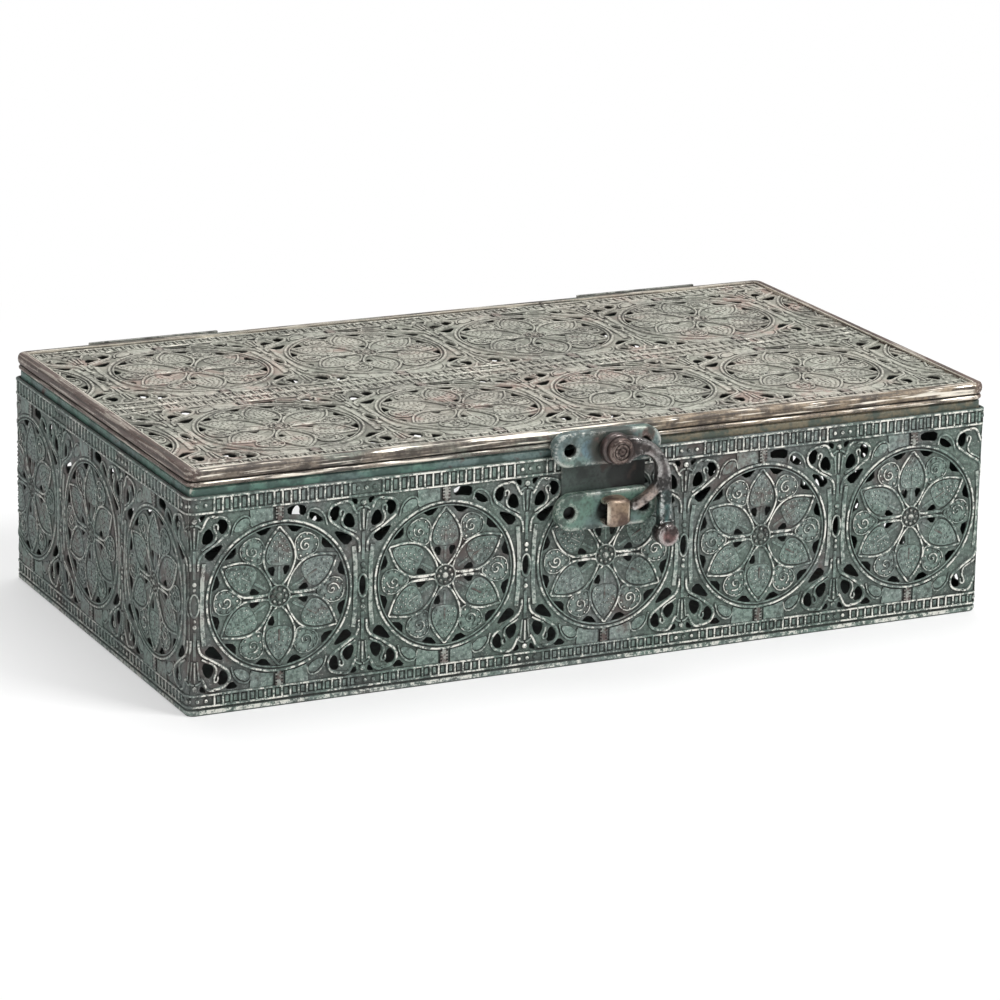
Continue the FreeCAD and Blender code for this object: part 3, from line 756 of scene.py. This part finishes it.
for x, y, start in ((1, 1, 0), (-1, 1, 90), (-1, -1, 180), (1, -1, 270)):
    for step in range(corner_steps + 1):
        turn = math.radians(start + 90 * step / corner_steps)
        centre = Vector((x * (rim_half_length - rim_corner), y * (rim_half_depth - rim_corner), 0))
        ring.append((centre, Vector((math.cos(turn), math.sin(turn), 0))))
points = []
for centre, out in ring:
    for inset, z in profile:
        points.append((centre + out * (rim_corner - inset) + Vector((0, 0, z))) * mm)
faces = []
across = len(profile)
for this in range(len(ring)):
    after = (this + 1) % len(ring)
    for low in range(across):
        high = (low + 1) % across
        faces.append((this * across + low, after * across + low, after * across + high, this * across + high))
mesh = bpy.data.meshes.new("lid_rim")
mesh.from_pydata(points, [], faces)
rim = bpy.data.objects.new("lid_rim", mesh)
bpy.context.collection.objects.link(rim)
pick(rim)
bpy.ops.object.mode_set(mode="EDIT")
bpy.ops.mesh.select_all(action="SELECT")
bpy.ops.mesh.normals_make_consistent(inside=False)
bpy.ops.object.mode_set(mode="OBJECT")
bpy.ops.object.shade_smooth_by_angle(angle=math.radians(40))
# A warm tan over the right front of the rim: partly the metal's own tone, partly a painted warm reflection.
rim_tan_and_sheen = ((64, -60, 59), 55, (0.27, 0.21, 0.145), 0.0)
rim_paint = plain_paint(
    "rim_paint", body=(0.2, 0.165, 0.13), cool=(0.16, 0.18, 0.15), shade=(0.045, 0.036, 0.03),
    worn=(0.9, 0.84, 0.73), stain=(0.1, 0.062, 0.054), wear=0.9, rough=0.54, metal=0.2, streak=0.95,
    spots=(rim_tan_and_sheen,),
)
rim.data.materials.append(rim_paint)
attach(rim, "lid")
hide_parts("front_rim", "back_rim", "left_rim", "right_rim")


# Hinges: two butt hinges on the outside of the back, each of two folded leaves on a steel pin.
# The leaves are plain sheet, riveted through the back wall and the rim.
def softened(node, name, edge, steps=3):
    """A copy of a solid with its sharp edges rounded off."""
    copy = bpy.data.objects.new(name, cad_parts[node].data.copy())
    bpy.context.collection.objects.link(copy)
    copy.data.materials.clear()
    pick(copy)
    bpy.ops.object.mode_set(mode="EDIT")
    bpy.ops.mesh.select_all(action="SELECT")
    bpy.ops.mesh.remove_doubles(threshold=0.002 * mm)
    bpy.ops.mesh.dissolve_limited(angle_limit=math.radians(1))
    bpy.ops.object.mode_set(mode="OBJECT")
    bevel = copy.modifiers.new("edges", "BEVEL")
    bevel.width = edge * mm
    bevel.segments = steps
    bevel.limit_method = "ANGLE"
    bevel.angle_limit = math.radians(40)
    bevel.use_clamp_overlap = False
    bpy.ops.object.modifier_apply(modifier="edges")
    bpy.ops.object.shade_smooth_by_angle(angle=math.radians(35))
    return copy


leaf_paint = plain_paint(
    "leaf_paint", body=(0.1, 0.12, 0.105), cool=(0.13, 0.14, 0.125), shade=(0.05, 0.05, 0.045),
    worn=(0.42, 0.41, 0.37), stain=(0.1, 0.06, 0.05), wear=0.6, rough=0.5, metal=0.3,
)
pin_steel = plain_paint(
    "pin_steel", body=(0.3, 0.3, 0.28), cool=(0.25, 0.24, 0.22), shade=(0.14, 0.13, 0.12),
    worn=(0.55, 0.54, 0.5), stain=(0.14, 0.09, 0.07), wear=0.5, rough=0.4, metal=0.8,
)
hinge_middle = 71.0
leaf_edge_round = 0.12
rivet_radius, rivet_flat, rivet_reach = 0.85, 0.45, 12.5
rivet_places = {"case": (61.8, 52.3), "lid": (61.4, 59.8)}
for side in ("left", "right"):
    middle = hinge_middle if side == "right" else -hinge_middle
    for body, (rivet_y, rivet_z) in rivet_places.items():
        leaf_plate = softened(f"{side}_{body}_leaf", f"{side}_{body}_hinge_leaf", leaf_edge_round, 2)
        for reach in (-rivet_reach, 0, rivet_reach):
            bpy.ops.mesh.primitive_uv_sphere_add(segments=16, ring_count=8, radius=rivet_radius * mm)
            rivet = bpy.context.object
            place = Matrix.Translation(Vector((middle + reach, rivet_y, rivet_z)) * mm)
            rivet.data.transform(place @ Matrix.Diagonal((1, rivet_flat, 1, 1)))
            leaf_plate = joined(leaf_plate.name, [leaf_plate, rivet])
        bpy.ops.object.shade_smooth_by_angle(angle=math.radians(35))
        leaf_plate.data.materials.append(leaf_paint)
        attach(leaf_plate, body)
        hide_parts(f"{side}_{body}_leaf")
    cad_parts[f"{side}_hinge_pin"].data.materials.clear()
    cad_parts[f"{side}_hinge_pin"].data.materials.append(pin_steel)

# Latch: a plain sheet behind it, two thick round-ended plates, a strap bent into a loop, and a horn hook.
# The sheet, plates and hook are painted metal, and the strap and the hook's rivet are tarnished brass.
# The sheet and the lower plate are soldered to the wall, and the upper plate to the rim.
pivot = (0.8, -68.85, 56.5)
catch_height = 40.7
plate_face = -64.0
hole_bed = -61.9
loop_half, loop_tall, loop_reach, strap_half = 3.3, 3.7, 4.8, 0.6
edge_bow, edge_droop, edge_pinch = 0.05, 0.11, 0.7
strap_cuts = 5
rivet_rings = ((2.5, 0.42), (1.5, 0.36), (0.45, 0.45))

# Stains and painted shade on the latch: where each lies, how wide it is, its colour, and how far it hides
# worn edges
black = (0.004, 0.004, 0.004)
brown = (0.055, 0.032, 0.028)
# Painted shade: the holes in the plates are painted black inside, and so is the sheet behind them.
shade_in_plate_holes = tuple(((x, hole_bed, catch_height), 2.4, black, 1.0) for x in (-10.6, 9.8))
# Painted shadow: the sheet is painted nearly black inside the curve of the hook.
shadow_under_hook = ((6.5, -61.6, 48.5), 6.0, (0.012, 0.012, 0.011), 1.0)
blue_patch = ((-5.4, -65.3, 56.5), 3.0, (0.11, 0.18, 0.21), 0.3)
# The plate is painted darker round the hook's eye.
dark_round_eye = ((0.8, -65.3, 57.0), 7.0, (0.05, 0.052, 0.044), 0.5)
rust_at_hole = ((10.5, -65.3, 58.6), 2.6, (0.1, 0.05, 0.04), 0.3)
# Painted shade: the plate is painted black inside the strap's loop.
shade_in_loop = ((-0.2, plate_face, catch_height), 3.3, black, 1.0)
blue_tail = ((14.4, -65.7, 40.0), 5.0, (0.06, 0.145, 0.14), 0.0)
brown_eye = ((0.8, -66.0, 56.5), 5.4, brown, 0.85)
tan_prong = ((8.3, -66.3, 43.6), 4.2, (0.3, 0.22, 0.18), 0.5)
pink_knob = ((14.5, -68.0, 33.6), 3.2, (0.16, 0.085, 0.08), 0.3)
# The sheet behind the latch is its own dark green, painted darker still as shade between the plates.
backing_paint_and_shade = plain_paint(
    "backing_paint_and_shade", body=(0.045, 0.066, 0.056), cool=(0.055, 0.066, 0.06), shade=(0.02, 0.025, 0.022),
    worn=(0.3, 0.3, 0.27), stain=(0.045, 0.03, 0.025), wear=0.3, spots=(*shade_in_plate_holes, shadow_under_hook),
)
# The plates' long nook paints shade deep in their holes.
plate_paint = plain_paint(
    "plate_paint", body=(0.1, 0.18, 0.14), cool=(0.125, 0.18, 0.18), shade=(0.036, 0.05, 0.042),
    worn=(0.7, 0.68, 0.62), stain=(0.12, 0.075, 0.065), wear=0.5, nook=3.5, lip=1.5,
    spots=(*shade_in_plate_holes, blue_patch, dark_round_eye, rust_at_hole, shade_in_loop),
)
loop_brass = plain_paint(
    "loop_brass", body=(0.25, 0.18, 0.12), cool=(0.32, 0.24, 0.19), shade=(0.06, 0.036, 0.03),
    worn=(0.72, 0.64, 0.53), stain=(0.12, 0.055, 0.045), wear=0.65, rough=0.4, metal=0.5, lip=1.1,
)
rivet_brass = plain_paint(
    "rivet_brass", body=(0.07, 0.042, 0.036), cool=(0.1, 0.066, 0.056), shade=(0.025, 0.017, 0.015),
    worn=(0.3, 0.25, 0.22), stain=brown, wear=0.45, rough=0.42, metal=0.4, lip=0.35,
)
# The hook's near-white worn colour along its edges is bare metal, and partly a painted highlight.
hook_paint = plain_paint(
    "hook_paint", body=(0.075, 0.076, 0.077), cool=(0.1, 0.076, 0.072), shade=(0.022, 0.02, 0.019),
    worn=(0.92, 0.91, 0.88), stain=(0.1, 0.06, 0.055), wear=0.7, rough=0.28, metal=0.6, nook=1.5, lip=1.7,
    spots=(blue_tail, brown_eye, tan_prong, pink_knob),
)
for node, name, edge, steps, paint, body, slot_name in (
    ("latch_backing", "latch_sheet", 0.2, 2, backing_paint_and_shade, "case", "latch_backing"),
    ("catch_plate", "catch_round_plate", 0.55, 4, plate_paint, "case", "latch_plate"),
    ("hook_plate", "hook_round_plate", 0.55, 4, plate_paint, "lid", "latch_plate"),
    ("catch_loop", "catch_strap", 0.55, 4, loop_brass, "case", "catch_loop"),
    ("hook_rivet", "hook_rivet_head", 0.6, 4, rivet_brass, "lid", "hook_rivet"),
    ("hook", "horn_hook", 0.85, 4, hook_paint, "hook", "hook"),
):
    fitting = softened(node, name, edge, steps)
    if node == "hook_rivet":
        for wide, thick in rivet_rings:
            bpy.ops.mesh.primitive_torus_add(
                major_segments=32, minor_segments=8, major_radius=wide * mm, minor_radius=thick * mm,
                rotation=(math.pi / 2, 0, 0), location=[value * mm for value in pivot],
            )
            ring_bead = bpy.context.object
            bpy.ops.object.transform_apply()
            fitting = joined(name, [fitting, ring_bead])
        bpy.ops.object.shade_smooth_by_angle(angle=math.radians(35))
    if node == "catch_loop":
        # The strap is hammered round, fuller in the middle than at its edges
        for step in range(1 - strap_cuts, strap_cuts):
            cut(fitting, pivot[0] + step * loop_half / strap_cuts)
        for vertex in fitting.data.vertices:
            x, y, z = vertex.co / mm
            bow = ((x - pivot[0]) / loop_half) ** 2
            pinch = edge_pinch * bow ** 3
            if y < plate_face - loop_reach + strap_half:
                y += pinch
            if abs(z - catch_height) > loop_tall - strap_half:
                z -= math.copysign(pinch, z - catch_height)
            vertex.co.y = (plate_face + (y - plate_face) * (1 - edge_bow * bow)) * mm
            vertex.co.z = (catch_height + (z - catch_height) * (1 - edge_droop * bow)) * mm
    fitting.data.materials.append(paint)
    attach(fitting, body)
    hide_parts(node)
